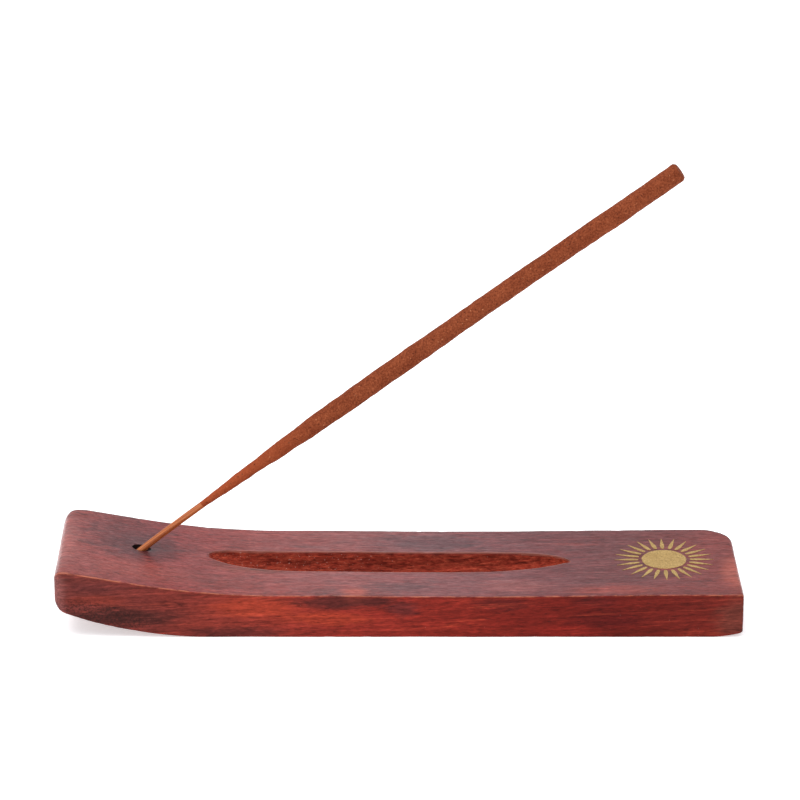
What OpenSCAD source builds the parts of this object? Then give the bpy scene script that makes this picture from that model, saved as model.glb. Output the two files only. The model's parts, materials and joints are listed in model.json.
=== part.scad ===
// Incense burner: a curved wooden ash catcher with an ash trough, an angled stick socket and a
// printed gold sun, holding one incense stick (a bamboo core rolled in incense paste).
// Millimetres. +X runs along the board to the sun end, +Y across it, +Z up.
// The origin is on the table, under the middle of the board.

/* [Board] */
// Overall length of the board
board_length = 140; // [115:1:180]
// Width of the board
board_width = 33; // [28:0.5:45]
// Thickness where the flat top begins
board_thickness = 8.85; // [7.5:0.05:12]
// How much thicker the sun end is
end_rise = 0.5; // [0:0.05:1]

/* [Raised end] */
// Distance from the raised end to where the top starts to climb
top_climb = 50; // [45:1:55]
// Radius of the climbing top
top_radius = 204; // [180:1:260]
// Distance from the raised end to where the underside lifts off the table
bottom_climb = 31.5; // [25:0.5:38]
// Radius of the lifting underside
bottom_radius = 80; // [70:1:120]
// Rounding of the raised end, above and below
nose_radius = 3; // [1.5:0.1:3.5]

/* [Sun end and corners] */
// Rounding of the top edge at the sun end
crown_radius = 0.8; // [0.3:0.1:2]
// Length over which the underside is eased at the sun end
toe_length = 8; // [4:0.5:12]
// Radius of that easing
toe_radius = 25; // [20:1:60]
// Plan rounding of the back corner at the raised end
corner_back_raised = 4.5; // [1:0.5:6]
// Plan rounding of the back corner at the sun end
corner_back_sun = 6; // [1:0.5:8]
// Plan rounding of the front corner at the raised end
corner_front_raised = 2; // [0.5:0.5:6]
// Plan rounding of the front corner at the sun end
corner_front_sun = 1; // [0.5:0.5:6]

/* [Ash trough] */
// Width of the trough at the top
trough_width = 9.6; // [6:0.1:13]
// Depth of the trough
trough_depth = 3.5; // [2:0.1:4.2]
// Radius of the cutter's run-out at each end
trough_runout = 80; // [40:1:110]
// Wood left between the mouth of the socket and the trough
gap_at_socket = 13.9; // [8:0.1:20]
// Wood left between the trough and the sun
gap_at_sun = 9; // [4:0.1:15]
// Offset of the trough from the middle of the board
trough_y = 0.5; // [-2:0.1:2]

/* [Stick socket] */
// Distance from the raised end to the mouth of the socket
socket_from_end = 16.7; // [14:0.1:22]
// Offset of the socket from the middle of the board
socket_y = 2.1; // [-3:0.1:3]
// Depth of the socket along its axis, to the start of the drill point
socket_depth = 8; // [5:0.1:9]
// Room in the socket: its diameter less the bamboo's
socket_slack = 1.4; // [0.4:0.1:2]
// Included angle of the drill point
drill_point = 118; // [90:1:140]

/* [Sun] */
// Distance from the sun end to the middle of the sun
sun_from_end = 15.3; // [13:0.1:25]
// Offset of the sun from the middle of the board
sun_y = 1.5; // [-2:0.1:2]
// Radius of the disc
disc_radius = 4.6; // [3:0.1:6]
// Gap between the disc and the rays
ray_gap = 0.7; // [0.3:0.1:1.5]
// Length of a ray
ray_length = 4.9; // [3:0.1:6]
// Width of a ray at its inner end
ray_root = 0.6; // [0.3:0.05:0.9]
// Width of a ray at its widest
ray_waist = 0.9; // [0.5:0.05:1.2]
// Distance from the inner end of a ray to its widest place
ray_swell = 1.3; // [0.6:0.1:2]
// Width of a ray at its blunt tip
ray_tip = 0.12; // [0.05:0.01:0.3]
// Thickness of the gold ink
ink_thickness = 0.08; // [0.05:0.01:0.2]

/* [Incense stick] */
// Lean of the stick above the table, in degrees
stick_angle = 37.2; // [35:0.1:50]
// Diameter of the bamboo core
bamboo_diameter = 1.4; // [1.1:0.05:2]
// Bare bamboo between the mouth of the socket and the paste
bare_length = 16.2; // [10:0.1:25]
// Diameter of the incense paste
paste_diameter = 4.2; // [3:0.1:5.5]
// Length of the incense paste
paste_length = 121; // [80:1:150]
// Length over which the paste thins towards the bare bamboo
paste_taper = 31; // [10:1:40]
// Thickness of the paste at its thin edge
paste_edge = 0.1; // [0.05:0.05:0.3]
// Paste that covers the top end of the bamboo
paste_cap = 1.5; // [0.5:0.1:3]
// Rounding of the paste's top end
paste_round = 0.6; // [0.2:0.1:1]
// Air between the stick and the socket where the stick leans on its wall
stick_clearance = 0.05; // [0.03:0.01:0.2]

/* [Hidden] */
RAYS = 24;
$fn = 96;
over = 1; // how far cutters stand past what they cut
curve_step = 2; // longest chord along the board's shallow curves
nose_steps = 10; // facets in each tight rounding
runout_sweep = 60; // degrees the trough's cutter turns, well past the top
drill_reach = 4; // how far the drill stands out of its mouth, in its own radii

function ray_name(i) = str("sun_ray_", i < 10 ? "0" : "", i);

// Ends of the board, and the line of its flat top
raised_x = -board_length / 2;
sun_end_x = board_length / 2;
climb_x = raised_x + top_climb;
top_slope = atan(end_rise / (sun_end_x - climb_x));
function flat_top(x) = board_thickness + (x - climb_x) * tan(top_slope);

// Centres of the two long curves at the raised end
top_centre = [climb_x, board_thickness] + top_radius * [-sin(top_slope), cos(top_slope)];
bottom_centre = [raised_x + bottom_climb, bottom_radius];
function top_z(x) = x > climb_x ? flat_top(x)
                  : top_centre.y - sqrt(top_radius ^ 2 - (x - top_centre.x) ^ 2);

// Nose roundings: each touches the end face and one of the long curves
nose_x = raised_x + nose_radius;
nose_top = [nose_x, top_centre.y - sqrt((top_radius + nose_radius) ^ 2 - (nose_x - top_centre.x) ^ 2)];
nose_bottom = [nose_x, bottom_centre.y
               - sqrt((bottom_radius - nose_radius) ^ 2 - (nose_x - bottom_centre.x) ^ 2)];
function bearing(from, to) = atan2(to.y - from.y, to.x - from.x);

// Crown and toe roundings at the sun end
crown_x = sun_end_x - crown_radius;
crown_centre = [crown_x, flat_top(crown_x) - crown_radius / cos(top_slope)];
toe_centre = [sun_end_x - toe_length, toe_radius];
toe_angle = asin(toe_length / toe_radius);

// Socket: its mouth lies on the climbing top, and it runs down towards the raised end
socket_diameter = bamboo_diameter + socket_slack;
socket_x = raised_x + socket_from_end;
mouth = [socket_x, socket_y, top_z(socket_x)];
drill_tip = socket_diameter / 2 / tan(drill_point / 2);

// The stick rests on the lower front of the socket's wall
lean_room = socket_slack / 2 - stick_clearance;
lean_side = 40; // degrees from the front of the socket down towards its floor
bare_below = socket_depth - stick_clearance;
bamboo_length = bare_below + bare_length + paste_length - paste_cap;

// Trough: the wood between the socket and the sun decides its length
sun_x = sun_end_x - sun_from_end;
sun_radius = disc_radius + ray_gap + ray_length;
trough_from = socket_x + gap_at_socket;
trough_to = sun_x - sun_radius - gap_at_sun;
trough_middle = (trough_from + trough_to) / 2;
trough_radius = ((trough_width / 2) ^ 2 + trough_depth ^ 2) / (2 * trough_depth);
trough_floor = flat_top(trough_middle) - trough_depth;
function runout(depth) = sqrt(trough_runout ^ 2 - (trough_runout - depth) ^ 2);
straight_from = trough_from + runout(top_z(trough_from) - trough_floor);
straight_to = trough_to - runout(flat_top(trough_to) - trough_floor);

function arc(centre, radius, from, to, steps) =
    [for (i = [0:steps]) let (a = from + (to - from) * i / steps) centre + radius * [cos(a), sin(a)]];
function steps_on(radius, angle) = ceil(abs(angle) * PI / 180 * radius / curve_step);

// Side view of the board, from the toe round the top and back along the underside
module board_side() {
    top_from = bearing(top_centre, [climb_x, board_thickness]);
    top_to = bearing(top_centre, nose_top);
    bottom_from = bearing(bottom_centre, nose_bottom);
    polygon(concat(
        arc(toe_centre, toe_radius, -90, -90 + toe_angle, steps_on(toe_radius, toe_angle)),
        arc(crown_centre, crown_radius, 0, 90 + top_slope, nose_steps),
        arc(top_centre, top_radius, top_from, top_to, steps_on(top_radius, top_to - top_from)),
        arc(nose_top, nose_radius, top_to + 180, 180, nose_steps),
        arc(nose_bottom, nose_radius, 180, bottom_from + 360, nose_steps),
        arc(bottom_centre, bottom_radius, bottom_from, -90, steps_on(bottom_radius, bottom_from + 90))));
}

// Plan view of the board: a rectangle with a rounding of its own at each corner
module board_plan() {
    w = board_width / 2;
    polygon(concat(
        arc([sun_end_x - corner_back_sun, w - corner_back_sun], corner_back_sun, 0, 90, nose_steps),
        arc([raised_x + corner_back_raised, w - corner_back_raised], corner_back_raised, 90, 180,
            nose_steps),
        arc([raised_x + corner_front_raised, -w + corner_front_raised], corner_front_raised, 180, 270,
            nose_steps),
        arc([sun_end_x - corner_front_sun, -w + corner_front_sun], corner_front_sun, 270, 360,
            nose_steps)));
}

// One end of the trough's cutter: the round cutter swept up on its run-out
module cutter_end() {
    rotate([90, 0, 0])
        rotate([0, 0, -90])
            rotate_extrude(angle = runout_sweep)
                translate([trough_runout - trough_radius, 0])
                    circle(r = trough_radius);
}

// Round-bottomed trough: straight where there is room, running out upwards at both ends
module trough_cutter() {
    if (straight_to > straight_from)
        translate([straight_from, trough_y, trough_floor + trough_radius])
            rotate([0, 90, 0])
                cylinder(r = trough_radius, h = straight_to - straight_from);
    translate([straight_to, trough_y, trough_floor + trough_runout])
        cutter_end();
    translate([straight_from, trough_y, trough_floor + trough_runout])
        mirror([1, 0, 0])
            cutter_end();
}

// Puts its children at the socket's mouth with +Z pointing out along the stick
module at_mouth() {
    translate(mouth)
        rotate([0, 90 - stick_angle, 0])
            children();
}

// Puts its children where the leaning stick lies in the socket
module at_stick() {
    at_mouth()
        translate(lean_room * [sin(lean_side), -cos(lean_side), 0])
            children();
}

// The drill: a straight bore that ends in the drill's point
module socket_cutter() {
    r = socket_diameter / 2;
    at_mouth()
        rotate_extrude()
            polygon([[0, -socket_depth - drill_tip], [r, -socket_depth],
                     [r, drill_reach * r], [0, drill_reach * r]]);
}

module wood_base() {
    color("#7d2f25")
        difference() {
            intersection() {
                translate([0, board_width / 2 + over, 0])
                    rotate([90, 0, 0])
                        linear_extrude(board_width + 2 * over)
                            board_side();
                translate([0, 0, -over])
                    linear_extrude(board_thickness + board_length / 2)
                        board_plan();
            }
            trough_cutter();
            socket_cutter();
        }
}

// Puts flat printing on the board's top, at the middle of the sun
module on_top() {
    translate([sun_x, sun_y, flat_top(sun_x)])
        rotate([0, -top_slope, 0])
            children();
}

module sun_disc() {
    color("#c09e62")
        on_top()
            cylinder(r = disc_radius, h = ink_thickness);
}

module sun_ray(i) {
    color("#c09e62")
        on_top()
            rotate([0, 0, 360 / RAYS * (i - 1)])
                translate([disc_radius + ray_gap, 0, 0])
                    linear_extrude(ink_thickness)
                        polygon([[0, -ray_root / 2], [ray_swell, -ray_waist / 2], [ray_length, -ray_tip / 2],
                                 [ray_length, ray_tip / 2], [ray_swell, ray_waist / 2], [0, ray_root / 2]]);
}

module bamboo_core() {
    color("#b9683f")
        at_stick()
            translate([0, 0, -bare_below])
                cylinder(d = bamboo_diameter, h = bamboo_length);
}

module incense_paste() {
    core = bamboo_diameter / 2;
    full = paste_diameter / 2;
    color("#8f4a2c")
        at_stick()
            translate([0, 0, bare_length])
                rotate_extrude()
                    polygon(concat(
                        [[core, 0], [core + paste_edge, 0], [full, paste_taper]],
                        arc([full - paste_round, paste_length - paste_round], paste_round, 0, 90, nose_steps),
                        [[0, paste_length], [0, paste_length - paste_cap], [core, paste_length - paste_cap]]));
}

wood_base();
sun_disc();
for (i = [1:RAYS])
    sun_ray(i);
bamboo_core();
incense_paste();
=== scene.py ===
# Incense burner: dyed wooden ash catcher with a printed gold sun and a hand-rolled incense stick
import json
import math
from functools import partial

import bmesh
import bpy
import numpy as np
from mathutils import Matrix, Vector


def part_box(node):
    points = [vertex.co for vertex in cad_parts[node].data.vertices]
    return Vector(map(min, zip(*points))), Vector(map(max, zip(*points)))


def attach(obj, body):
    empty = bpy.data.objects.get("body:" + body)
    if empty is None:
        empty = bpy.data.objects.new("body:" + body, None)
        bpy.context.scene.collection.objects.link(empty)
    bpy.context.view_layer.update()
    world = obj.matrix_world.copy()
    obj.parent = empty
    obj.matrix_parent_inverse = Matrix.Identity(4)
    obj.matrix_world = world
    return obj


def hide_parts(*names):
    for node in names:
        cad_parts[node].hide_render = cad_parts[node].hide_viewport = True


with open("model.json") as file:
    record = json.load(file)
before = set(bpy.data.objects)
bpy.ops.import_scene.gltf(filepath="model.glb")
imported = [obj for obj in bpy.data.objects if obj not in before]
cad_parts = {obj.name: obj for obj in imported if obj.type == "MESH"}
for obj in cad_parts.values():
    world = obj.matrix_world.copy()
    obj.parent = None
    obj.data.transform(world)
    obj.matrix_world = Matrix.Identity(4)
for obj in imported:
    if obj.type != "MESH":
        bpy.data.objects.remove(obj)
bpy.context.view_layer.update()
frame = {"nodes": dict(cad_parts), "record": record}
mm = 0.001
softly = {"interpolation_type": "SMOOTHSTEP"}  # for a Map Range that eases in and out


def addNode(tree, kind, *inputs, out=0, stops=(), **settings):
    # inputs are values or outputs, in order or as one dictionary by socket; stops are a colour ramp's places
    # and colours; gives back the output called out, or all of them for None
    node = tree.nodes.new(kind)
    for name, value in settings.items():
        setattr(node, name, value)
    for i, (position, colour) in enumerate(stops):
        element = node.color_ramp.elements[i] if i < 2 else node.color_ramp.elements.new(position)
        element.position = position
        element.color = hexColour(colour) if isinstance(colour, str) else [colour, colour, colour, 1]
    for key, value in inputs[0].items() if inputs and isinstance(inputs[0], dict) else enumerate(inputs):
        if isinstance(value, bpy.types.NodeSocket):
            tree.links.new(value, node.inputs[key])
        else:
            node.inputs[key].default_value = value
    return node.outputs if out is None else node.outputs[out]


def hexColour(code):
    # sRGB hex to the linear colour that the shader wants
    channels = [int(code[i:i + 2], 16) / 255 for i in (1, 3, 5)]
    return [c / 12.92 if c <= 0.04045 else ((c + 0.055) / 1.055) ** 2.4 for c in channels] + [1.0]


def perMetre(size):
    # pattern scale for a feature of this size in millimetres
    return 1 / (size * mm)


def smoothStep(low, high, value):
    t = np.clip((value - low) / (high - low), 0, 1)
    return t * t * (3 - 2 * t)


def quarterDrop(radius, distance):
    # how far a rounding of this radius has fallen at a distance from the end face
    inside = np.clip(radius - distance, 0, radius)
    return radius - np.sqrt(radius ** 2 - inside ** 2)


def meshObject(name, vertices, faces):
    mesh = bpy.data.meshes.new(name)
    mesh.from_pydata([tuple(v) for v in vertices], [], faces)
    mesh.validate()
    piece = bpy.data.objects.new(name, mesh)
    bpy.context.scene.collection.objects.link(piece)
    return piece


def loftFaces(rings, sides):
    # quads between closed rings of points, and a cap on both ends
    faces = []
    for low in range(0, (rings - 1) * sides, sides):
        high = low + sides
        for k in range(sides):
            after = (k + 1) % sides
            faces.append([low + k, low + after, high + after, high + k])
    return faces + [list(range(sides))[::-1], list(range((rings - 1) * sides, rings * sides))]


def readPoints(mesh):
    points = np.empty(len(mesh.vertices) * 3)
    mesh.vertices.foreach_get("co", points)
    return points.reshape(-1, 3)


def bakeModifiers(piece):
    # new_from_object gives the evaluated mesh; the piece keeps it and drops its modifiers
    depsgraph = bpy.context.evaluated_depsgraph_get()
    mesh = bpy.data.meshes.new_from_object(piece.evaluated_get(depsgraph))
    old = piece.data
    piece.modifiers.clear()
    piece.data = mesh
    bpy.data.meshes.remove(old)
    mesh.name = piece.name


def makeTree(name, sizes):
    # geometry tree whose named inputs are sizes, as name and kind, and the finish
    tree = bpy.data.node_groups.new(name, "GeometryNodeTree")
    tree.interface.new_socket("Geometry", in_out="OUTPUT", socket_type="NodeSocketGeometry")
    for label, kind in {"Geometry": "Geometry", **sizes, "Finish": "Material"}.items():
        tree.interface.new_socket(label, in_out="INPUT", socket_type="NodeSocket" + kind)
    add = partial(addNode, tree)
    return tree, add, add("NodeGroupInput", out=None)


def growPiece(piece, tree, sizes):
    # runs a geometry tree on a piece and keeps the result as its plain mesh; inputs go by their identifiers
    modifier = piece.modifiers.new(tree.name, "NODES")
    modifier.node_group = tree
    for item in tree.interface.items_tree:
        if item.name in sizes:
            modifier[item.identifier] = sizes[item.name]
    bakeModifiers(piece)


def newMaterial(name):
    finish = bpy.data.materials.new(name)
    finish.use_nodes = True
    finish.node_tree.nodes.clear()
    add = partial(addNode, finish.node_tree)
    return finish, add, add("ShaderNodeTexCoord", out="Object")


def addShader(add, sockets):
    add("ShaderNodeOutputMaterial", {"Surface": add("ShaderNodeBsdfPrincipled", sockets)}, out=None)


def stretchedNoise(add, place, size, detail=4.0, roughness=0.55, distortion=0.0, turn=0.0, offset=(0, 0, 0)):
    # noise whose features are size = (along, across, up) millimetres
    turned = add("ShaderNodeMapping", {"Vector": place, "Rotation": (0, turn, 0)})
    scaled = add("ShaderNodeMapping", {
        "Vector": turned, "Scale": [perMetre(s) for s in size], "Location": offset})
    return add("ShaderNodeTexNoise", {
        "Vector": scaled, "Scale": 1.0, "Detail": detail, "Roughness": roughness, "Distortion": distortion})


def mixIn(add, colour, amount, strength, code):
    # lays a colour of this strength over another where amount is high
    share = add("ShaderNodeMath", amount, strength, operation="MULTIPLY")
    return add("ShaderNodeMix", {0: share, 6: colour, 7: hexColour(code)}, data_type="RGBA", out=2)


# Camera: long lens, looking down at the board's front
camera = {"distance": 0.8410, "lookDown": 22.6, "lens": 182.8, "aim": (0.00017, 0.0159, 0.0388)}


def makeCamera():
    data = bpy.data.cameras.new("camera")
    data.lens = camera["lens"]
    data.sensor_width = 36
    data.clip_start = 0.01
    item = bpy.data.objects.new("camera", data)
    bpy.context.scene.collection.objects.link(item)
    down = math.radians(camera["lookDown"])
    back = Vector((0, -math.cos(down), math.sin(down)))
    item.location = Vector(camera["aim"]) + back * camera["distance"]
    item.rotation_euler = (math.pi / 2 - down, 0, 0)
    bpy.context.scene.camera = item


makeCamera()
print("camera placed")

# Where the stick lies, from the joint it pulls out along
pullJoint = frame["record"]["behaviour"]["joints"][0]
stickAxis = Vector(pullJoint["axis"]).normalized()
coreLow, coreHigh = [Vector(corner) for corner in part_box("bamboo_core")]
coreRadius = (coreHigh.y - coreLow.y) / 2
coreMiddle = (coreLow + coreHigh) / 2
coreLength = (coreHigh.x - coreLow.x - 2 * coreRadius * stickAxis.z) / stickAxis.x
coreFoot = coreMiddle - stickAxis * coreLength / 2
pasteLow, pasteHigh = [Vector(corner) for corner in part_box("incense_paste")]
pasteRadius = (pasteHigh.y - pasteLow.y) / 2
pasteTop = (pasteHigh.x - pasteRadius * stickAxis.z - coreFoot.x) / stickAxis.x  # from the core's foot


# Wooden board, carved from one piece; x runs from the raised end to the sun, y to the back; sizes in mm
board = {
    "topFlat": 8.98,        # height of the top on the raised end's side of the trough's middle
    "topDip": 0.18,         # how far the top sinks past the middle
    "dipBetween": (-14, 4),
    "topRise": 0.36,        # how far it rises again at the sun end
    "riseBetween": (18, 58),
    "climbFrom": -24.0,     # where the top starts to climb to the raised end
    "climbRadius": 168.0,
    "climbStraight": 30.0,  # length of the climb before it runs straight
    "slopeAtSocket": 0.17,
    "liftFrom": -38.5,      # where the underside lifts
    "liftRadius": 84.0,
    "toeFrom": 63.2,        # where the underside turns up again at the sun end
    "toeRadius": 25.0,
    "noseTop": 2.4,         # roundings of the raised end, above and below
    "noseBottom": 2.0,
    "crown": 0.8,           # rounding of the sun end's top
    "frontLift": 0.38,      # how much higher the top stands at its front edge
    "frontLiftBand": (3.5, 16.5),
    "cornerRadii": {"backRaised": 4.4, "backSun": 6.4, "frontRaised": 2.0, "frontSun": 0.8},
    "edgeRadius": 0.24,
    "outOfSquare": 0.25,    # the sun end is sawn this far off on each side of its middle
    "outOfSquareFrom": 0.7,  # share of the half length
    "grainDepth": 0.03,
    "waveDepth": 0.05,
    "tearDepth": 0.16,
    "chipDepth": 0.07,
    "handSanding": 10,      # passes over both ends
    "sandedBand": (6, 1.5),  # from the end face, where sanding starts and is full
    "sectionGap": 0.36,     # between the sections that the board is lofted through
    "endZone": 5.0,         # length at each end with closer sections
    "endSections": 22,
}
trough = {
    # pairs are for the raised end's half and the sun's half
    "tips": (-39.6, 35.4),
    "tipY": (1.9, 0.8),
    "back": 5.8,
    "front": -4.1,
    "depth": 3.2,
    # a lip leaves its tip as (1 - along ** power) ** blunt
    "frontPower": (4.5, 4),
    "frontBlunt": (0.8, 1),
    "backPower": (14, 6),
    "backBlunt": (0.4, 0.6),
    "frontWall": 0.45,      # share of the width that each wall takes
    "backWall": 0.2,
}
boardLow, boardHigh = [np.array(corner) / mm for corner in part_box("wood_base")]
halfLength = (boardHigh[0] - boardLow[0]) / 2


def boardTop(x):
    b = board
    dip, rise = smoothStep(*b["dipBetween"], x), smoothStep(*b["riseBetween"], x)
    flat = b["topFlat"] - b["topDip"] * dip + b["topRise"] * rise
    climb = np.clip(b["climbFrom"] - x, 0, None)
    curved = np.minimum(climb, b["climbStraight"])
    climbZ = curved ** 2 / (2 * b["climbRadius"]) + (climb - curved) * b["climbStraight"] / b["climbRadius"]
    return flat + climbZ


def boardUnderside(x):
    lift = np.clip(board["liftFrom"] - x, 0, None)
    toe = np.clip(x - board["toeFrom"], 0, None)
    left = board["liftRadius"] - np.sqrt(board["liftRadius"] ** 2 - lift ** 2)
    right = board["toeRadius"] - np.sqrt(board["toeRadius"] ** 2 - toe ** 2)
    return left + right


def boardLimits(x):
    # front, back, underside and top of the board's section at x, with the ends rounded
    fromRaised, fromSun = x + halfLength, halfLength - x
    radii = board["cornerRadii"]
    front = boardLow[1] + quarterDrop(radii["frontRaised"], fromRaised)
    front = front + quarterDrop(radii["frontSun"], fromSun)
    back = boardHigh[1] - quarterDrop(radii["backRaised"], fromRaised)
    back = back - quarterDrop(radii["backSun"], fromSun)
    top = boardTop(x) - quarterDrop(board["noseTop"], fromRaised) - quarterDrop(board["crown"], fromSun)
    under = boardUnderside(x) + quarterDrop(board["noseBottom"], fromRaised)
    return front, back, under, top


def frontLift(y):
    return board["frontLift"] * smoothStep(*board["frontLiftBand"], -np.asarray(y))


def troughLips(x):
    # front and back lip of the trough, and how far along it x is: 0 in the middle, 1 at a tip
    pick = lambda name: np.where(x < 0, *trough[name])
    along = np.clip(x / pick("tips"), 0, 1)
    tip = pick("tipY")
    lips = [tip + (trough[lip] - tip) * (1 - along ** pick(lip + "Power")) ** pick(lip + "Blunt")
            for lip in ("front", "back")]
    return *lips, along


def troughDepth(across, along):
    # across runs from the front lip, 0, to the back lip, 1
    ease = lambda t: np.sin(np.pi / 2 * np.clip(t, 0, 1))
    # the powers hollow the floor out a little towards the front lip and the tips
    walls = ease(across / trough["frontWall"]) ** 0.9 * ease((1 - across) / trough["backWall"])
    return trough["depth"] * walls * (1 - along ** 5) ** 0.8


def eased(low, high, count):
    # values from low to high, closest together at both ends
    return low + (high - low) * (0.5 - 0.5 * np.cos(np.linspace(0, np.pi, count)))


def roundedCorner(y, z, radius, startDegrees):
    # quarter circle in the section plane, turning clockwise seen from the sun end
    angles = np.radians(startDegrees) - np.linspace(0, np.pi / 2, 5)[1:-1]
    return [(y + radius * math.cos(a), z + radius * math.sin(a)) for a in angles]


def boardSection(x):
    # outline across the board at x: underside, front, top with the trough, back
    front, back, under, top = boardLimits(x)
    lipFront, lipBack, along = troughLips(x)
    r = min(board["edgeRadius"], (top - under) / 4)
    outline = [(y, under) for y in eased(back - r, front + r, 30)]
    outline += roundedCorner(front + r, under + r, r, 270)
    crest = top + float(frontLift(front + r))
    outline += [(front, z) for z in eased(under + r, crest - r, 18)]
    outline += roundedCorner(front + r, crest - r, r, 180)
    outline += [(y, top + frontLift(y)) for y in eased(front + r, lipFront, 14)[:-1]]
    carved = [(lipFront + (lipBack - lipFront) * v, troughDepth(v, along)) for v in eased(0, 1, 29)]
    outline += [(y, top + frontLift(y) - depth) for y, depth in carved]
    outline += [(y, top) for y in eased(lipBack, back - r, 14)[1:]]
    outline += roundedCorner(back - r, top - r, r, 90)
    outline += [(back, z) for z in eased(top - r, under + r, 16)]
    outline += roundedCorner(back - r, under + r, r, 0)
    return np.array([(x, y, z) for y, z in outline])


def buildBoard():
    zone, gap = board["endZone"], board["sectionGap"]
    ends = zone * (1 - np.cos(np.linspace(0, np.pi / 2, board["endSections"])))
    clear = 0.3  # mm, so that no two sections nearly meet
    middle = np.arange(-halfLength + zone + clear, halfLength - zone, gap)
    stations = np.concatenate([-halfLength + ends, middle, (halfLength - ends)[::-1]])
    rings = [boardSection(x) for x in stations]
    # each end face closes with shrinking copies of its outline
    closing = [0.96, 0.85, 0.65, 0.4, 0.15]
    for ring in (rings[0], rings[-1]):
        middlePoint = (ring.max(axis=0) + ring.min(axis=0)) / 2
        shrunk = [middlePoint + (ring - middlePoint) * share for share in closing]
        rings = shrunk[::-1] + rings if ring is rings[0] else rings + shrunk
    piece = meshObject("carved_board", np.concatenate(rings) * mm, loftFaces(len(rings), len(rings[0])))
    cleaner = bmesh.new()
    cleaner.from_mesh(piece.data)
    bmesh.ops.remove_doubles(cleaner, verts=cleaner.verts, dist=0.004 * mm)
    bmesh.ops.recalc_face_normals(cleaner, faces=cleaner.faces)
    print("board volume, cubic mm:", round(cleaner.calc_volume(signed=True) / mm ** 3))
    cleaner.to_mesh(piece.data)
    cleaner.free()
    return piece


def sandEnds(piece):
    # evens out the corners of both ends, as hand sanding does
    mesh = piece.data
    points = readPoints(mesh)
    edges = np.empty(len(mesh.edges) * 2, dtype=int)
    mesh.edges.foreach_get("vertices", edges)
    one, other = edges.reshape(-1, 2).T
    neighbours = np.bincount(np.concatenate([one, other]), minlength=len(points))[:, None]
    start, full = [halfLength - distance for distance in board["sandedBand"]]
    # a pass moves a point up to half way to the middle of its neighbours
    pressure = 0.5 * smoothStep(start, full, np.abs(points[:, 0]) / mm)[:, None]
    for _ in range(board["handSanding"]):
        total = np.zeros_like(points)
        np.add.at(total, one, points[other])
        np.add.at(total, other, points[one])
        points += (total / neighbours - points) * pressure
    mesh.vertices.foreach_set("co", points.ravel())


socket = {
    "radius": 1.4,      # mm
    "slack": 0.65,      # mm from the socket's axis to the stick's
    "leanSide": 40.0,   # degrees from the front of the socket down towards its floor
    "drillLength": 30,  # mm, long enough to stand out of the mouth
    # shadedDepth: how deep the socket's wall is painted near black, painted shade inside the hole
    "shadedDepth": 9.0,   # mm from the mouth
}
stickTurn = Vector((0, 0, 1)).rotation_difference(stickAxis).to_matrix().to_4x4()


def cutSocket(piece):
    # drills the socket and gives back the foot of its axis
    side = math.radians(socket["leanSide"])
    foot = coreFoot + stickTurn @ Vector((-math.sin(side), math.cos(side), 0)) * socket["slack"] * mm
    radius, length = socket["radius"] * mm, socket["drillLength"] * mm
    builder = bmesh.new()
    bmesh.ops.create_cone(builder, cap_ends=True, segments=40, radius1=radius, radius2=radius, depth=length)
    bmesh.ops.transform(builder, verts=builder.verts, matrix=Matrix.Translation(foot) @ stickTurn
                        @ Matrix.Translation((0, 0, length / 2)))
    drill = bpy.data.objects.new("drill", bpy.data.meshes.new("drill"))
    builder.to_mesh(drill.data)
    builder.free()
    bpy.context.scene.collection.objects.link(drill)
    cut = piece.modifiers.new("socket", "BOOLEAN")
    cut.object = drill
    cut.operation = "DIFFERENCE"
    cut.solver = "MANIFOLD"
    bakeModifiers(piece)
    bpy.data.objects.remove(drill)
    return foot


def storeWear(piece):
    # per-point masks the finish reads: the trough, the top, distances in mm to the worn edges, and to the
    # back edge, along which the finish paints a dark line of shade
    x, y, z = (readPoints(piece.data) / mm).T
    farthest = 5  # mm, the most that a distance says
    margin = 0.3  # mm past the lips where the carving may still show
    front, back, under, top = boardLimits(np.clip(x, -halfLength, halfLength))
    top = top + frontLift(y)
    lipFront, lipBack, along = troughLips(x)
    inside = (y > lipFront - margin) & (y < lipBack + margin) & (along < 1)
    sideGap = np.minimum(np.minimum(y - front, back - y), np.minimum(x + halfLength, halfLength - x))
    faceGap = np.minimum(top - z, z - under)
    # carved from 0.12 mm under the top, and wholly so 0.25 mm lower
    carved = np.where(inside, np.clip((top - z - 0.12) / 0.25, 0, 1), 0)
    lip = np.minimum(np.abs(y - lipFront), np.abs(y - lipBack))
    nearLip = (along < 1) & (top - z < 0.6)
    masks = {
        "troughCut": carved,
        "edgeGap": np.clip(np.maximum(sideGap, faceGap), 0, farthest) * np.where(carved > 0, 5, 1),
        "frontEdge": np.clip(np.hypot(y - front, top - z), 0, farthest),
        # distance to the back edge, where the finish paints a line of painted shade
        "shadedBackEdge": np.clip(np.hypot(back - y, top - z), 0, farthest),
        "lipGap": np.where(nearLip, np.clip(lip, 0, farthest), farthest),
        "topFace": np.maximum(np.clip((0.17 - (top - z)) / 0.08, 0, 1), carved),
    }
    for name, values in masks.items():
        attribute = piece.data.attributes.new(name, "FLOAT", "POINT")
        attribute.data.foreach_set("value", values.astype(np.float32))


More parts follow.
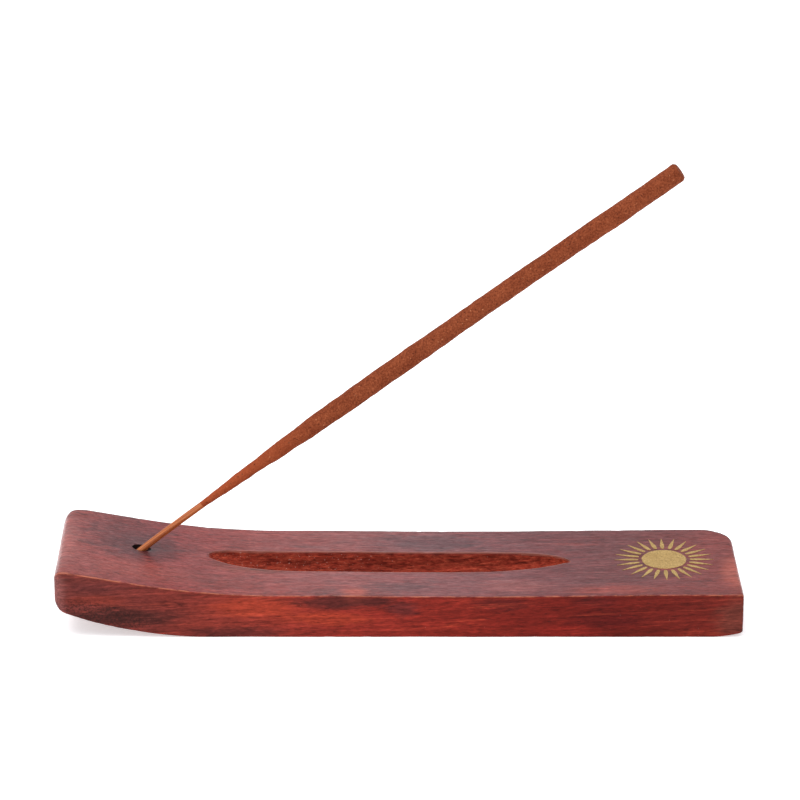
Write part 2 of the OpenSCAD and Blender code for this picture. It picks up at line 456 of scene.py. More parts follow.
def weatherTree():
    # grain, hand-sanded waves, torn grain in the trough and chips along the edges, all inwards
    tree, add, size = makeTree("weathered wood", dict.fromkeys(("Grain", "Waves", "Tears", "Chips"), "Float"))
    place = add("GeometryNodeInputPosition")
    troughCut, edgeGap = [add("GeometryNodeInputNamedAttribute", {"Name": name}, data_type="FLOAT")
                          for name in ("troughCut", "edgeGap")]
    nearEdge = add("ShaderNodeMapRange", edgeGap, 0.7, 0.05, **softly)
    # name, feature size in mm, noise detail, noise at which it starts and is full, where it is
    layers = [
        ("Grain", (9, 0.55, 0.55), 2, 0.62, 0.38, 1.0),
        ("Waves", (22, 9, 9), 1, 0.3, 0.7, 1.0),
        ("Tears", (1.6, 0.45, 0.45), 4, 0.62, 0.4, troughCut),
        ("Chips", (2.6, 1.1, 1.1), 3, 0.55, 0.70, nearEdge),
    ]
    total = 0.0
    for name, feature, detail, start, full, where in layers:
        scaled = add("ShaderNodeVectorMath", place, [perMetre(s) for s in feature], operation="MULTIPLY")
        noise = add("ShaderNodeTexNoise", {"Vector": scaled, "Scale": 1.0, "Detail": detail})
        amount = add("ShaderNodeMapRange", noise, start, full, **softly)
        amount = add("ShaderNodeMath", amount, where, operation="MULTIPLY")
        depth = add("ShaderNodeMath", amount, size[name], operation="MULTIPLY")
        total = add("ShaderNodeMath", total, depth, operation="ADD")
    inwards = add("ShaderNodeMath", total, -mm, operation="MULTIPLY")
    normal = add("GeometryNodeInputNormal")
    push = add("ShaderNodeVectorMath", {0: normal, "Scale": inwards}, operation="SCALE")
    moved = add("GeometryNodeSetPosition", {"Geometry": size["Geometry"], "Offset": push})
    smooth = add("GeometryNodeSetShadeSmooth", {"Geometry": moved})
    plain = add("GeometryNodeRealizeInstances", {"Geometry": smooth})
    painted = add("GeometryNodeSetMaterial", {"Geometry": plain, "Material": size["Finish"]})
    add("NodeGroupOutput", {"Geometry": painted}, out=None)
    return tree


# Where the dye took unevenly, plus a few painted highlights and painted shade, marked below: middle of the
# stain and its reach in mm, colour, strength
stainsAndPaintedLight = [
    # front face
    ((-29, -16.5, 6.6), (12, 5, 2.6), "#a53c27", 0.65),
    ((-15, -16.5, 4.2), (12, 5, 2.0), "#9e3924", 0.6),
    ((-51, -16.5, 7.2), (8, 5, 1.7), "#5a2420", 0.35),
    ((-11, -16.5, 8.0), (14, 5, 2.1), "#46211f", 0.8),
    ((1, -16.5, 6.4), (4, 5, 2.2), "#4f2626", 0.6),
    ((-56, -16.5, 4.6), (15, 5, 2.6), "#2f1c1a", 0.6),
    ((-33, -16.5, 0.8), (14, 5, 2.2), "#42201f", 0.6),
    ((21, -16.5, 7.4), (8, 5, 1.9), "#521917", 0.75),
    ((40, -16.5, 7.9), (6, 5, 1.7), "#561a19", 0.55),
    ((34, -16.5, 1.4), (9, 5, 1.8), "#82201a", 0.55),
    ((42, -16.5, 4.0), (10, 5, 2.4), "#501413", 0.65),
    ((69, -16.5, 4.0), (6, 5, 6.0), "#6a382e", 0.6),
    # painted highlight: the raised end's rounded front corner, lighter where it catches the light
    ((-69.5, -15.5, 8.5), (2.6, 3, 7), "#8a5450", 0.75),
    ((-62, -16.5, 8.2), (9, 5, 1.4), "#923625", 0.35),
    ((-61, -16.5, 11.2), (9, 5, 1.3), "#5c2a29", 0.5),
    # top face
    ((-56, 7, 12.5), (16, 12, 5), "#54282a", 0.55),
    ((-54, -9, 11.5), (18, 7, 4), "#954034", 0.5),
    ((0, -12, 9), (8, 4, 2), "#4b2a2c", 0.55),
    ((-9, -14.5, 9), (3.5, 2.5, 2), "#b3503c", 0.6),
    ((6, 10.8, 9), (15, 5.5, 2), "#4c2c31", 0.6),
    ((69.5, -5, 9.2), (4.5, 10, 3), "#ad5340", 0.7),
    ((44, -13.5, 9.2), (14, 3, 2), "#9a4034", 0.55),
    ((24, -11, 9), (9, 4, 2), "#96504a", 0.5),
    # painted highlight: a lighter band along the raised end's rounded top edge
    ((-69, 0, 12), (4, 17, 5), "#ad655d", 0.5),
    ((-37, -11, 9.6), (9, 4.5, 3), "#702c26", 0.6),
    # ash trough
    ((-30, -2.5, 7), (14, 3.5, 4), "#6e3d2a", 0.5),
    ((-8, 2, 6.5), (8, 4, 4), "#561410", 0.5),
    # painted shade: a dark spot at the trough's tip, in place of a small notch's shade
    ((-39.4, 1.7, 8.8), (1.0, 1.0, 1.2), "#4a1814", 0.9),
]


def dyedWood(mouth):
    # Mango wood, sawn, carved and sanded, dyed red-brown and wiped with thin satin varnish: long streaky
    # grain with dark vessels, a soft cool sheen on the top, rubbed pale along the front edge; painted shade
    # along the back edge, in the socket and at the trough's tip, and painted highlights on the raised end
    finish, add, place = newMaterial("dyed mango wood, satin varnish")
    parts = add("ShaderNodeSeparateXYZ", place, out=None)
    pattern = partial(stretchedNoise, add, place)
    isTop, cut, frontEdge, shadedBackEdge, lipGap = [
        add("ShaderNodeAttribute", attribute_name=name, out="Fac")
        for name in ("topFace", "troughCut", "frontEdge", "shadedBackEdge", "lipGap")]

    streaks = pattern((15, 0.6, 0.6), 5, 0.6, 0.4, turn=0.04)
    mottle = pattern((5, 1.5, 1.1), 5, 0.68, 0.8, turn=0.06, offset=(5, 1, 2))
    fine = pattern((1.6, 0.28, 0.28), 4, 0.7, 0.2, turn=0.04, offset=(3, 7, 1))
    wobble = pattern((12, 4, 3), 4, 0.6)

    along = add("ShaderNodeMapRange", parts["X"], -halfLength * mm, halfLength * mm)
    shift = add("ShaderNodeMath", wobble, 0.5, operation="SUBTRACT")
    shift = add("ShaderNodeMath", shift, 0.10, operation="MULTIPLY")
    alongWobbly = add("ShaderNodeMath", along, shift, operation="ADD")
    sideTint = add("ShaderNodeValToRGB", alongWobbly, stops=[
        (0.0, "#6a302b"), (0.14, "#6e2d27"), (0.26, "#823026"), (0.40, "#872b22"), (0.52, "#80261d"),
        (0.64, "#742018"), (0.80, "#641a14"), (1.0, "#68211a")])
    topTint = add("ShaderNodeValToRGB", alongWobbly, stops=[
        (0.0, "#853a33"), (0.14, "#7d3230"), (0.28, "#873a35"), (0.42, "#863e3a"), (0.54, "#7e3c3b"),
        (0.66, "#6f3132"), (0.84, "#672c2b"), (1.0, "#7c322c")])
    colour = add("ShaderNodeMix", {0: isTop, 6: sideTint, 7: topTint}, data_type="RGBA", out=2)

    # raw cut wood in the trough: matt and torn
    tears = pattern((2.0, 0.45, 0.45), 5, 0.7, 0.3, offset=(2, 2, 8))
    rawTint = add("ShaderNodeValToRGB", tears, stops=[
        (0.28, "#501610"), (0.44, "#7b2a1e"), (0.58, "#953c2b"), (0.74, "#ae523a")])
    atSunTip = add("ShaderNodeMapRange", along, 0.71, 0.76, **softly)
    rawTint = mixIn(add, rawTint, atSunTip, 0.5, "#9a3a20")
    colour = add("ShaderNodeMix", {0: cut, 6: colour, 7: rawTint}, data_type="RGBA", out=2)

    # each stain fades with the distance from its middle in reaches, broken up by the mottling
    raggedness = add("ShaderNodeMath", mottle, 0.5, operation="SUBTRACT")
    raggedness = add("ShaderNodeMath", raggedness, 1.4, operation="MULTIPLY")
    for middle, reach, code, strength in stainsAndPaintedLight:
        offset = add("ShaderNodeVectorMath", place, [v * mm for v in middle], operation="SUBTRACT")
        offset = add("ShaderNodeVectorMath", offset, [perMetre(v) for v in reach], operation="MULTIPLY")
        gap = add("ShaderNodeVectorMath", offset, operation="LENGTH", out="Value")
        ragged = add("ShaderNodeMath", gap, raggedness, operation="ADD")
        colour = mixIn(add, colour, add("ShaderNodeMapRange", ragged, 1.1, 0.35, **softly), strength, code)

    # grain: light and dark streaks, mottling and fine short fibres
    colour = mixIn(add, colour, add("ShaderNodeMapRange", streaks, 0.56, 0.78, **softly), 0.28, "#b84c30")
    colour = mixIn(add, colour, add("ShaderNodeMapRange", mottle, 0.42, 0.24, **softly), 0.55, "#3a1717")
    for noise, darkest, lightest in ((streaks, 0.66, 1.34), (mottle, 0.68, 1.32), (fine, 0.52, 1.48)):
        factor = add("ShaderNodeMapRange", noise, 0.25, 0.75, darkest, lightest)
        colour = add("ShaderNodeVectorMath", {0: colour, "Scale": factor}, operation="SCALE")

    # grime under the raised end, in a band that leans with the underside
    toGrime = add("ShaderNodeVectorMath", place, (-60 * mm, -16.5 * mm, 4.9 * mm), operation="SUBTRACT")
    toGrime = add("ShaderNodeMapping", {"Vector": toGrime, "Rotation": (0, -0.23, 0)})
    toGrime = add("ShaderNodeVectorMath", toGrime, (1, 1, 4), operation="MULTIPLY")
    toGrime = add("ShaderNodeVectorMath", toGrime, operation="LENGTH", out="Value")
    nearGrime = add("ShaderNodeMapRange", toGrime, 15 * mm, 6 * mm, **softly)
    crumbs = pattern((0.5, 0.4, 0.4), 3, 0.75, offset=(1, 6, 3))
    crumbs = add("ShaderNodeMapRange", crumbs, 0.54, 0.42, **softly)
    grime = add("ShaderNodeMath", nearGrime, crumbs, operation="MULTIPLY")
    colour = mixIn(add, colour, grime, 0.6, "#231715")

    # open vessels: dark dashes along the grain, a fifth of a millimetre wide
    vessels = pattern((2.6, 0.20, 0.20), 2, 0.5, offset=(11, 3, 9))
    vessels = add("ShaderNodeMapRange", vessels, 0.62, 0.72, **softly)
    colour = mixIn(add, colour, vessels, 0.5, "#2c0d0c")

    # the rubbed front edge and lips show the pale wood under the dye; the back edge gets a dark line of
    # painted shade
    worn = add("ShaderNodeMapRange", pattern((2.4, 0.6, 0.6), 4, 0.7), 0.40, 0.60, **softly)
    frontEdge = add("ShaderNodeMapRange", frontEdge, 0.36, 0.10, **softly)
    rubbed = add("ShaderNodeMath", worn, frontEdge, operation="MULTIPLY")
    colour = mixIn(add, colour, rubbed, 0.7, "#bd6c4e")
    # painted shade: a dark line along the back edge's rounding
    colour = mixIn(add, colour, add("ShaderNodeMapRange", shadedBackEdge, 0.60, 0.12, **softly), 0.65, "#33222b")
    colour = mixIn(add, colour, add("ShaderNodeMapRange", lipGap, 0.30, 0.02, **softly), 0.45, "#b77a68")

    # handling round the socket, and the socket's wall painted near black: painted shade inside the hole
    toMouth = add("ShaderNodeVectorMath", place, mouth, operation="DISTANCE", out="Value")
    handled = add("ShaderNodeMapRange", toMouth, 10 * mm, 1.5 * mm, **softly)
    colour = mixIn(add, colour, handled, 0.55, "#402b2e")
    fromMouth = add("ShaderNodeVectorMath", place, mouth, operation="SUBTRACT")
    sideways = add("ShaderNodeVectorMath", fromMouth, stickAxis, operation="CROSS_PRODUCT")
    fromAxis = add("ShaderNodeVectorMath", sideways, operation="LENGTH", out="Value")
    wall, depth = socket["radius"], socket["shadedDepth"]
    onWall = add("ShaderNodeMapRange", fromAxis, (wall + 0.08) * mm, (wall + 0.02) * mm, **softly)
    inReach = add("ShaderNodeMapRange", toMouth, (depth + 0.5) * mm, depth * mm, **softly)
    shadedBore = add("ShaderNodeMath", onWall, inReach, operation="MULTIPLY")
    # painted shade: the hole's wall near black down to shadedDepth
    colour = mixIn(add, colour, shadedBore, 0.95, "#0c0606")

    # stray dust, thickest on the trough's back wall towards the socket
    specks = pattern((0.42, 0.30, 0.30), 2, 0.6, offset=(4, 9, 6))
    towardsBack = add("ShaderNodeMapRange", parts["Y"], 0, 3 * mm, **softly)
    towardsSocket = add("ShaderNodeMapRange", parts["X"], 8 * mm, -8 * mm, **softly)
    ashy = add("ShaderNodeMath", towardsBack, towardsSocket, operation="MULTIPLY")
    ashy = add("ShaderNodeMath", cut, ashy, operation="MULTIPLY")
    ashy = add("ShaderNodeMath", ashy, 0.085, operation="MULTIPLY")
    limit = add("ShaderNodeMath", 0.745, ashy, operation="SUBTRACT")
    dust = add("ShaderNodeMath", specks, limit, operation="SUBTRACT")
    colour = mixIn(add, colour, add("ShaderNodeMapRange", dust, 0, 0.05, **softly), 0.5, "#cfa396")

    satin = add("ShaderNodeMath", streaks, 0.5, operation="SUBTRACT")
    satin = add("ShaderNodeMath", satin, 0.25, operation="MULTIPLY")
    satin = add("ShaderNodeMath", satin, 0.45, operation="ADD")
    roughness = add("ShaderNodeMix", {0: cut, 2: satin, 3: 0.9})

    # varnish on the top only, not in the trough or the socket, and worn thin over the fibres
    bare = add("ShaderNodeMath", cut, shadedBore, operation="MAXIMUM")
    varnish = add("ShaderNodeMath", 1.0, bare, operation="SUBTRACT")
    varnish = add("ShaderNodeMath", isTop, varnish, operation="MULTIPLY")
    sheen = add("ShaderNodeValToRGB", along, stops=[
        (0.0, 0.85), (0.12, 0.66), (0.24, 0.68), (0.40, 1.0), (0.58, 0.95), (0.72, 0.75), (1.0, 0.58)])
    thinFront = add("ShaderNodeMapRange", parts["Y"], -15 * mm, -2 * mm, 0.84, 1.0, **softly)
    sheen = add("ShaderNodeMath", sheen, thinFront, operation="MULTIPLY")
    haze = pattern((4, 1.4, 2), 5, 0.7, 0.6, offset=(8, 2, 4))
    for noise, thinnest, thickest in ((fine, 0.42, 1.48), (streaks, 0.72, 1.26), (haze, 0.58, 1.34)):
        factor = add("ShaderNodeMapRange", noise, 0.25, 0.75, thinnest, thickest)
        sheen = add("ShaderNodeMath", sheen, factor, operation="MULTIPLY")
    coat = add("ShaderNodeMath", varnish, sheen, operation="MULTIPLY")

    torn = add("ShaderNodeMath", tears, cut, operation="MULTIPLY")
    height = add("ShaderNodeMath", fine, 0.5, operation="MULTIPLY")
    for relief, amount in ((vessels, -0.6), (torn, 1.6)):
        relief = add("ShaderNodeMath", relief, amount, operation="MULTIPLY")
        height = add("ShaderNodeMath", height, relief, operation="ADD")
    bump = add("ShaderNodeBump", {"Height": height, "Distance": 0.05 * mm, "Strength": 0.7})
    addShader(add, {
        "Base Color": colour, "Roughness": roughness, "IOR": 1.5,
        "Specular IOR Level": 0.06,  # the dye soaks in, so the bare faces hardly shine
        "Coat Weight": coat, "Coat Roughness": 0.32, "Normal": bump})
    return finish


def makeBoard():
    piece = buildBoard()
    foot = cutSocket(piece)
    # the mouth is where the socket's axis meets the climbing top
    reach = (boardTop(foot.x / mm) * mm - foot.z) / (stickAxis.z + stickAxis.x * board["slopeAtSocket"])
    storeWear(piece)
    sandEnds(piece)
    growPiece(piece, weatherTree(), {
        "Grain": board["grainDepth"], "Waves": board["waveDepth"], "Tears": board["tearDepth"],
        "Chips": board["chipDepth"], "Finish": dyedWood(foot + stickAxis * reach)})
    points = readPoints(piece.data)
    # the sun end is sawn a little out of square
    squareness = smoothStep(board["outOfSquareFrom"], 1.0, points[:, 0] / (halfLength * mm))
    points[:, 0] -= (points[:, 1] / (boardHigh[1] * mm) + 1) * board["outOfSquare"] * mm * squareness
    points = np.clip(points, boardLow * mm, None)
    points[:, :2] = np.minimum(points[:, :2], boardHigh[:2] * mm)
    piece.data.vertices.foreach_set("co", points.ravel())
    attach(piece, "board")
    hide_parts("wood_base")
    print("board made:", len(piece.data.polygons), "faces")


makeBoard()


# Printed sun, sizes in mm
sun = {
    "rays": 24,
    "discRadius": 4.60,
    "rayFrom": 5.32,      # blunt inner end of a ray
    "rayTo": 10.25,       # its point
    "rayRoot": 0.62,      # across at the inner end
    "rayWaist": 0.92,     # across at its widest
    "waistAt": 0.3,       # share of the ray's length
    "raggedEdge": 0.12,
    "inkHeight": 0.05,    # above the wood
    "inkWall": 0.11,      # thickness, most of it sunk in the wood
}
sunLow, sunHigh = [Vector(corner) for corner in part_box("sun_disc")]
sunCentre = (sunLow + sunHigh) / 2


def goldInk():
    # Screen-printed gold pigment ink: flat, fine metal flakes in a clear binder, a dull warm glint
    finish, add, place = newMaterial("gold pigment ink, screen printed")
    flakes = stretchedNoise(add, place, (0.25, 0.25, 0.25), 3, 0.7)
    clouds = stretchedNoise(add, place, (3, 3, 3), 2)
    gold = add("ShaderNodeValToRGB", flakes, stops=[(0.30, "#8f7440"), (0.50, "#cba765"), (0.72, "#e6c888")])
    shade = add("ShaderNodeValToRGB", clouds, stops=[(0.3, "#d8d0c4"), (0.7, "#ffffff")])
    colour = add("ShaderNodeMix", {0: 0.5, 6: gold, 7: shade}, data_type="RGBA", blend_type="MULTIPLY", out=2)
    bump = add("ShaderNodeBump", {"Height": flakes, "Distance": 0.02 * mm, "Strength": 0.6})
    addShader(add, {"Base Color": colour, "Metallic": 0.55, "Roughness": 0.55, "Normal": bump})
    return finish


def rayTree():
    # one ray outline, filled and set round the disc
    lengths = dict.fromkeys(("From", "To", "Root", "Waist"), "Float")
    tree, add, size = makeTree("sun rays", {"Rays": "Int", **lengths})
    length = add("ShaderNodeMath", size["To"], size["From"], operation="SUBTRACT")
    middle = add("ShaderNodeMath", length, 0.5, operation="MULTIPLY")
    middle = add("ShaderNodeMath", size["From"], middle, operation="ADD")
    grid = add("GeometryNodeMeshGrid", {"Size X": length, "Size Y": 1.0, "Vertices X": 25, "Vertices Y": 5})
    place = add("GeometryNodeInputPosition")
    parts = add("ShaderNodeSeparateXYZ", place, out=None)
    share = add("ShaderNodeMath", parts["X"], length, operation="DIVIDE")
    share = add("ShaderNodeMath", share, 0.5, operation="ADD")
    # width: blunt at the root, swells to the waist, then tapers to a point
    swell = add("ShaderNodeMapRange", share, 0.0, sun["waistAt"], size["Root"], size["Waist"])
    taper = add("ShaderNodeMapRange", share, sun["waistAt"], 1.0, 1.0, 0.05)
    blunt = add("ShaderNodeMapRange", share, 0.0, 0.05, 0.6, 1.0)
    width = add("ShaderNodeMath", swell, taper, operation="MULTIPLY")
    width = add("ShaderNodeMath", width, blunt, operation="MULTIPLY")
    outwards = add("ShaderNodeMath", parts["X"], middle, operation="ADD")
    sideways = add("ShaderNodeMath", parts["Y"], width, operation="MULTIPLY")
    shaped = add("ShaderNodeCombineXYZ", outwards, sideways)
    ray = add("GeometryNodeSetPosition", {"Geometry": grid, "Position": shaped})
    turn = add("ShaderNodeMath", add("GeometryNodeInputIndex"), 2 * math.pi, operation="MULTIPLY")
    turn = add("ShaderNodeMath", turn, size["Rays"], operation="DIVIDE")
    ring = add("GeometryNodeInstanceOnPoints", {
        "Points": add("GeometryNodePoints", {"Count": size["Rays"]}), "Instance": ray,
        "Rotation": add("ShaderNodeCombineXYZ", {2: turn})})
    plain = add("GeometryNodeRealizeInstances", {"Geometry": ring})
    # ragged ink edge, different on each ray
    rough = add("ShaderNodeTexNoise", {"Vector": place, "Scale": 3.0, "Detail": 2.0}, out=1)
    shift = add("ShaderNodeVectorMath", rough, (-0.5, -0.5, -0.5), operation="ADD")
    ragged = (sun["raggedEdge"], sun["raggedEdge"], 0)
    shift = add("ShaderNodeVectorMath", shift, ragged, operation="MULTIPLY")
    plain = add("GeometryNodeSetPosition", {"Geometry": plain, "Offset": shift})
    painted = add("GeometryNodeSetMaterial", {"Geometry": plain, "Material": size["Finish"]})
    add("NodeGroupOutput", {"Geometry": painted}, out=None)
    return tree


def inkOnBoard(piece):
    # drops a flat print, made in millimetres round the sun's middle, onto the board and gives it thickness
    points = readPoints(piece.data)
    x = points[:, 0] + sunCentre.x / mm
    y = points[:, 1] + sunCentre.y / mm
    target = bpy.data.objects["carved_board"]
    above = 20  # mm, where each point starts to drop
    for i in range(len(points)):
        hit, place, _, _ = target.ray_cast(Vector((x[i], y[i], above)) * mm, Vector((0, 0, -1)))
        points[i] = (x[i], y[i], place.z / mm + sun["inkHeight"] if hit else points[i, 2])
    piece.data.vertices.foreach_set("co", (points * mm).ravel())
    wall = piece.modifiers.new("ink", "SOLIDIFY")
    wall.thickness = sun["inkWall"] * mm
    wall.offset = -1
    bakeModifiers(piece)
    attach(piece, "board")


def makeSun():
    finish = goldInk()
    rays = meshObject("printed_rays", [], [])
    growPiece(rays, rayTree(), {"Rays": sun["rays"], "From": sun["rayFrom"], "To": sun["rayTo"],
                                "Root": sun["rayRoot"], "Waist": sun["rayWaist"], "Finish": finish})
    inkOnBoard(rays)
    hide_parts(*[name for name in frame["nodes"] if name.startswith("sun_ray_")])

    rings, turns = 16, 96
    points = [(0, 0, 0)]
    for ring in range(1, rings + 1):
        for step in range(turns):
            angle = 2 * math.pi * step / turns
            # the ink's edge wanders by a few hundredths of a millimetre
            ragged = 0.03 * math.sin(7 * angle) + 0.02 * math.sin(17 * angle + 1)
            radius = (sun["discRadius"] + ragged) * ring / rings
            points.append((radius * math.cos(angle), radius * math.sin(angle), 0))
    faces = [[0, 1 + step, 1 + (step + 1) % turns] for step in range(turns)]
    for ring in range(rings - 1):
        inner, outer = 1 + ring * turns, 1 + (ring + 1) * turns
        faces += [[inner + step, outer + step, outer + (step + 1) % turns, inner + (step + 1) % turns]
                  for step in range(turns)]
    disc = meshObject("printed_disc", points, faces)
    disc.data.materials.append(finish)
    inkOnBoard(disc)
    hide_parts("sun_disc")
    print("sun printed")


makeSun()

# Incense stick, sizes in mm
stick = {
    "bareEnd": 24.3,      # from the core's foot to where the paste starts
    "coreSides": 28,
    "coreInPaste": 8,     # how far the core is modelled inside the paste
    "pasteRadius": 2.12,  # at its thickest
    "grain": 0.28,        # lump size of the paste's powder
    "grainDepth": 0.075,
    "lumpSize": 2.6,      # the roller's unevenness
    "lumps": 0.36,
    # the paste's thickness from its thin end: share of its length, share of its full radius
    "thickness": [(0.0, 0.355), (0.01, 0.40), (0.035, 0.46), (0.06, 0.54), (0.09, 0.59), (0.12, 0.64),
                  (0.15, 0.74), (0.18, 0.81), (0.22, 0.89), (0.27, 0.96), (0.32, 0.99), (0.42, 1.0),
                  (0.55, 0.96), (0.72, 0.96), (0.85, 1.0), (0.990, 1.0), (0.9965, 0.96), (1.0, 0.76)],
    # the stick dried slightly bowed: length along it, height above the straight line
    "bow": [(0, 0), (5, 0.12), (9, 0.30), (14, 0.48), (20, 0.62), (26, 0.71), (32, 0.77), (50, 0.82),
            (70, 0.82), (90, 0.76), (110, 0.64), (125, 0.46), (137, 0.24)],
}
bowSide = Vector((-stickAxis.z, 0, stickAxis.x))


def bowAt(length):
    return float(np.interp(length, *zip(*stick["bow"])))


def dyedBamboo():
    # Split bamboo, shaved round and dyed orange-brown: smooth long fibres
    finish, add, place = newMaterial("dyed split bamboo")
    lean = math.atan2(stickAxis.z, stickAxis.x)
    fibres = stretchedNoise(add, place, (9, 0.22, 0.22), 4, 0.5, turn=lean)
    colour = add("ShaderNodeValToRGB", fibres, stops=[
        (0.30, "#8a4420"), (0.50, "#b4602f"), (0.72, "#cf8047")])
    bump = add("ShaderNodeBump", {"Height": fibres, "Distance": 0.05 * mm, "Strength": 0.6})
    addShader(add, {"Base Color": colour, "Roughness": 0.42, "Normal": bump})
    return finish


def incensePaste():
    # Hand-rolled masala paste: wood powder, charcoal and resin; matt, granular, with pale and dark grains
    finish, add, place = newMaterial("hand-rolled incense paste")
    grains = stretchedNoise(add, place, (0.34, 0.34, 0.34), 3, 0.75)
    clouds = stretchedNoise(add, place, (4, 2, 4), 3, 0.65)
    colour = add("ShaderNodeValToRGB", grains, stops=[
        (0.28, "#4c2114"), (0.44, "#7d3c22"), (0.58, "#8f482b"), (0.76, "#b26845")])
    shade = add("ShaderNodeValToRGB", clouds, stops=[(0.32, "#dacbc4"), (0.60, "#ffffff")])
    colour = add("ShaderNodeMix", {0: 0.8, 6: colour, 7: shade},
                 data_type="RGBA", blend_type="MULTIPLY", out=2)
    # the thin end is drier and more orange
    along = add("ShaderNodeSeparateXYZ", place, out="X")
    thinEnd = add("ShaderNodeMapRange", along, -12 * mm, -38 * mm, **softly)
    colour = mixIn(add, colour, thinEnd, 0.5, "#b4532f")
    # pale and dark grains, one in a cell where the cell's own random colour is high enough
    cells = add("ShaderNodeTexVoronoi", {"Vector": place, "Scale": perMetre(0.8)}, out=None)
    dot = add("ShaderNodeValToRGB", cells["Distance"], stops=[(0.12, 1.0), (0.22, 0.0)])
    chance = add("ShaderNodeSeparateXYZ", cells["Color"], out=None)
    for channel, none, most, code in (("X", 0.80, 0.82, "#c07a55"), ("Y", 0.72, 0.74, "#3a120c")):
        chosen = add("ShaderNodeValToRGB", chance[channel], stops=[(none, 0.0), (most, 0.8)])
        colour = mixIn(add, colour, dot, chosen, code)
    bump = add("ShaderNodeBump", {"Height": grains, "Distance": 0.12 * mm, "Strength": 0.9})
    addShader(add, {"Base Color": colour, "Roughness": 0.92, "Specular IOR Level": 0.12, "Normal": bump})
    return finish


def pasteTree():
    # a tube round the stick's axis whose radius follows the thickness curve, then lumps and grains
    tree, add, size = makeTree("rolled paste", {
        **dict.fromkeys(("Start", "End", "Bow"), "Vector"),
        **dict.fromkeys(("Radius", "Lump size", "Lumps", "Grain size", "Grain depth"), "Float")})
    line = add("GeometryNodeCurvePrimitiveLine", {"Start": size["Start"], "End": size["End"]})
    line = add("GeometryNodeResampleCurve", {"Curve": line, "Count": 640})
    share = add("GeometryNodeSplineParameter", out="Factor")
    start, end = stick["bareEnd"], pasteTop / mm
    bow = [(t, bowAt(start + (end - start) * t)) for t in np.linspace(0, 1, 12)]
    followed = []
    for shape in (bow, stick["thickness"]):
        value = add("ShaderNodeFloatCurve", {"Value": share})
        mapping = value.node.mapping
        for position, height in shape[1:-1]:
            mapping.curves[0].points.new(position, height)
        for point, place in zip(mapping.curves[0].points, shape):
            point.location = place
            point.handle_type = "AUTO_CLAMPED"
        mapping.update()
        followed.append(value)
    bowed, thickness = followed
    bend = add("ShaderNodeVectorMath", {0: size["Bow"], "Scale": bowed}, operation="SCALE")
    line = add("GeometryNodeSetPosition", {"Geometry": line, "Offset": bend})
    radius = add("ShaderNodeMath", thickness, size["Radius"], operation="MULTIPLY")
    circle = add("GeometryNodeCurvePrimitiveCircle", {"Resolution": 60, "Radius": 1.0})
    tube = add("GeometryNodeCurveToMesh", {
        "Curve": line, "Profile Curve": circle, "Scale": radius, "Fill Caps": True})

    # lumps and grains, mostly inwards
    place = add("GeometryNodeInputPosition")
    pushes = []
    for feature, detail, depth in (("Lump size", 2.0, "Lumps"), ("Grain size", 3.0, "Grain depth")):
        scale = add("ShaderNodeMath", 1.0, size[feature], operation="DIVIDE")
        noise = add("ShaderNodeTexNoise", {"Vector": place, "Scale": scale, "Detail": detail})
        noise = add("ShaderNodeMath", noise, 0.75, operation="SUBTRACT")
        pushes.append(add("ShaderNodeMath", noise, size[depth], operation="MULTIPLY"))
    total = add("ShaderNodeMath", *pushes, operation="ADD")
    normal = add("GeometryNodeInputNormal")
    push = add("ShaderNodeVectorMath", {0: normal, "Scale": total}, operation="SCALE")
    rolled = add("GeometryNodeSetPosition", {"Geometry": tube, "Offset": push})
    smooth = add("GeometryNodeSetShadeSmooth", {"Geometry": rolled})
    plain = add("GeometryNodeRealizeInstances", {"Geometry": smooth})
    painted = add("GeometryNodeSetMaterial", {"Geometry": plain, "Material": size["Finish"]})
    add("NodeGroupOutput", {"Geometry": painted}, out=None)
    return tree


def makePaste():
    piece = meshObject("rolled_paste", [], [])
    growPiece(piece, pasteTree(), {
        "Start": coreFoot + stickAxis * stick["bareEnd"] * mm, "End": coreFoot + stickAxis * pasteTop,
        "Bow": bowSide * mm, "Radius": stick["pasteRadius"] * mm, "Lump size": stick["lumpSize"] * mm,
        "Lumps": stick["lumps"] * mm, "Grain size": stick["grain"] * mm,
        "Grain depth": stick["grainDepth"] * mm, "Finish": incensePaste()})
    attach(piece, "stick")
    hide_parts("incense_paste")
    print("paste rolled:", len(piece.data.polygons), "faces")


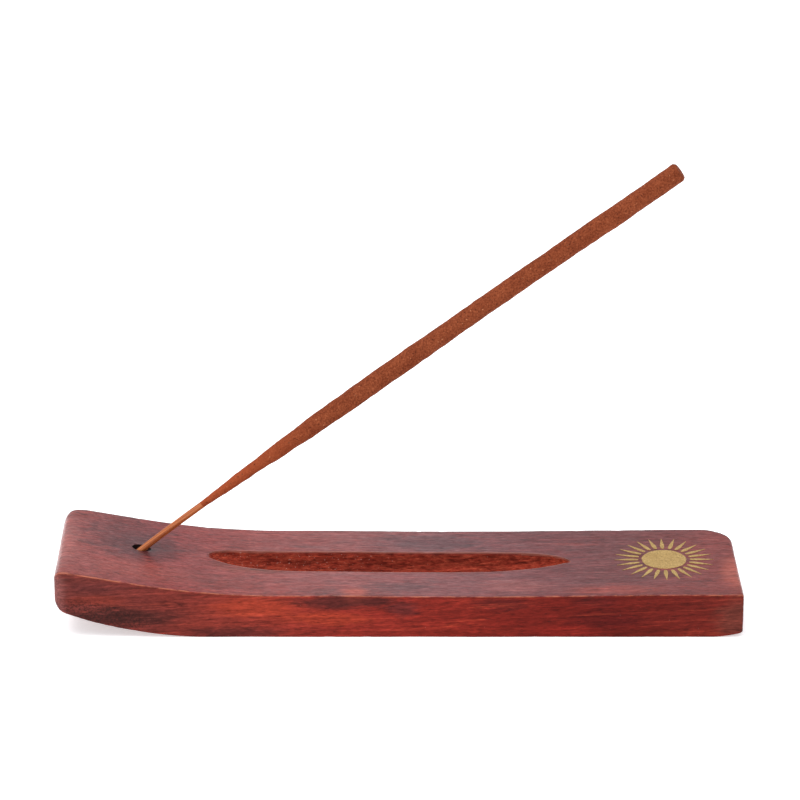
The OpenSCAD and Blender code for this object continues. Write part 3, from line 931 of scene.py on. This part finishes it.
def makeCore():
    # shaved bamboo: a rounded square section with soft corners, its end sawn off square and eased
    sides = stick["coreSides"]
    stations = np.concatenate([[0, 0.15], np.arange(0.6, stick["bareEnd"] + stick["coreInPaste"], 0.4)])
    points = []
    for s in stations:
        bow = bowSide * bowAt(s) * mm
        for k in range(sides):
            angle = 2 * math.pi * k / sides
            # share of the full radius: four soft corners that shift along the core
            square = 0.93 + 0.07 * math.cos(4 * angle + 0.5) + 0.02 * math.sin(0.35 * s + 2 * angle)
            radius = coreRadius * min(square, 1) * (0.86 if s == 0 else 1)
            around = Vector((radius * math.cos(angle), radius * math.sin(angle), s * mm))
            points.append(coreFoot + bow + stickTurn @ around)
    piece = meshObject("bamboo_splint", points, loftFaces(len(stations), sides))
    piece.data.shade_smooth()
    piece.data.materials.append(dyedBamboo())
    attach(piece, "stick")
    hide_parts("bamboo_core")
    print("bamboo made")


makePaste()
makeCore()

# Floor and light, in metres and watts
studio = {
    "world": 0.72,
    "worldTint": (0.97, 0.99, 1.04),
    "keyPower": 6.5,
    "keySize": 0.7,
    "keyPlace": (-0.25, -0.15, 0.95),
    "floorGlow": 0.5,
    "floorReach": 6,
}


def makeStudio():
    far = studio["floorReach"]
    corners = [(-far, -far, 0), (far, -far, 0), (far, far, 0), (-far, far, 0)]
    floor = meshObject("floor", corners, [(0, 1, 2, 3)])
    # Matt white paper, bright and even, with a little glow so that it stays near white
    finish, add, _ = newMaterial("white paper")
    addShader(add, {"Base Color": hexColour("#f6f6f6"), "Roughness": 0.9, "Emission Color": (1, 1, 1, 1),
                    "Emission Strength": studio["floorGlow"]})
    floor.data.materials.append(finish)
    world = bpy.data.worlds.new("studio")
    world.use_nodes = True
    background = world.node_tree.nodes["Background"]
    background.inputs["Color"].default_value = (*studio["worldTint"], 1)
    background.inputs["Strength"].default_value = studio["world"]
    bpy.context.scene.world = world
    bpy.context.scene.view_settings.view_transform = "Standard"
    data = bpy.data.lights.new("softbox", "AREA")
    data.size = studio["keySize"]
    data.energy = studio["keyPower"]
    key = bpy.data.objects.new("softbox", data)
    bpy.context.scene.collection.objects.link(key)
    key.location = studio["keyPlace"]
    key.rotation_euler = (Vector((0, 0, 0)) - key.location).to_track_quat("-Z", "Y").to_euler()


makeStudio()
print("studio lit")
